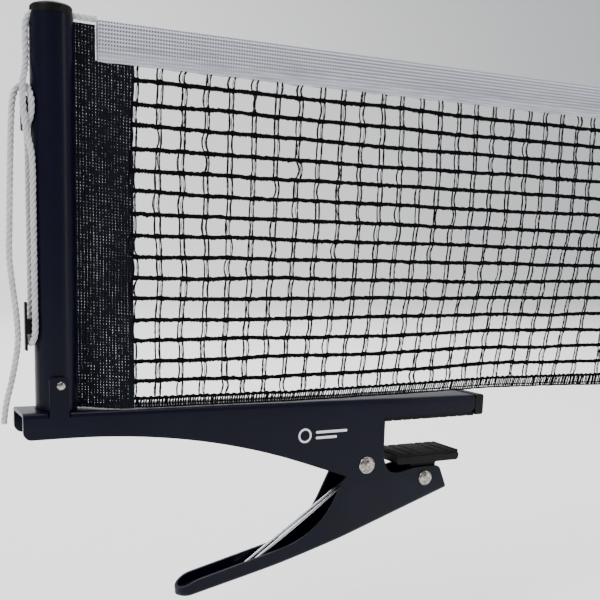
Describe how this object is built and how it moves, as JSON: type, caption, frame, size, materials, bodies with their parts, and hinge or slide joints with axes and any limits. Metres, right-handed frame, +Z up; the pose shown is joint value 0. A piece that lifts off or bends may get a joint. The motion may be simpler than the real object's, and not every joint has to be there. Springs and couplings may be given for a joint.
{
  "type": "table tennis net clamp",
  "caption": "Clip-on net clamp for a table tennis table: arm with sprung jaw, slotted post with cord cleats, and the start of the net it carries.",
  "frame": {"origin": "middle of the upper jaw's contact face, on the table top and on the centre line of the net", "axes": "+X inwards over the table along the net, +Y across the arm, +Z up, in millimetres in the source and metres here"},
  "size_m": [0.3077, 0.0222, 0.2265],
  "materials": {
    "navy_paint": "satin powder coat, very dark navy",
    "black_plastic": "matte moulded",
    "grip_rubber": "matte",
    "rivet_nickel": "nickel plated, slightly worn",
    "zinc_wire": "bright zinc plated wire",
    "cord_white": "twisted polyester cord",
    "tape_grey": "coarse woven tape",
    "net_black": "knitted black yarn"
  },
  "bodies": {
    "arm": {"arm_bracket": "navy_paint", "jaw_insert": "black_plastic", "upper_grip": "grip_rubber", "pivot_rivet": "rivet_nickel", "pivot_sleeve": "rivet_nickel", "post_tube": "navy_paint", "post_rivet": "rivet_nickel", "post_cap": "black_plastic", "post_foot_plug": "black_plastic", "cleat_upper": "black_plastic", "cleat_lower": "black_plastic", "net_edge_rod": "zinc_wire", "net_side_band": "net_black", "net_mesh": "net_black", "net_hem": "net_black", "net_end_binding": "net_black", "net_tape": "tape_grey", "cord_top_run": "cord_white", "cord_wound": "cord_white", "cord_tail": "cord_white"},
    "lever": {"lever_channel": "navy_paint", "jaw_pin": "rivet_nickel", "torsion_spring": "zinc_wire"},
    "jaw_pad": {"jaw_shoe": "black_plastic", "lower_grip": "grip_rubber"}
  },
  "joints": [
    {"name": "lever_hinge", "type": "hinge", "parent": "arm", "child": "lever", "pos_m": [-0.0328, 0, -0.0188], "axis": [0, 1, 0], "range_deg": [-12, 28], "stiffness_Nm_per_rad": 1.7, "springref_deg": -68.75, "deforming": ["torsion_spring"]},
    {"name": "jaw_swivel", "type": "hinge", "parent": "lever", "child": "jaw_pad", "pos_m": [0, 0, -0.0278], "axis": [0, 1, 0], "range_deg": [-12, 12]}
  ]
}
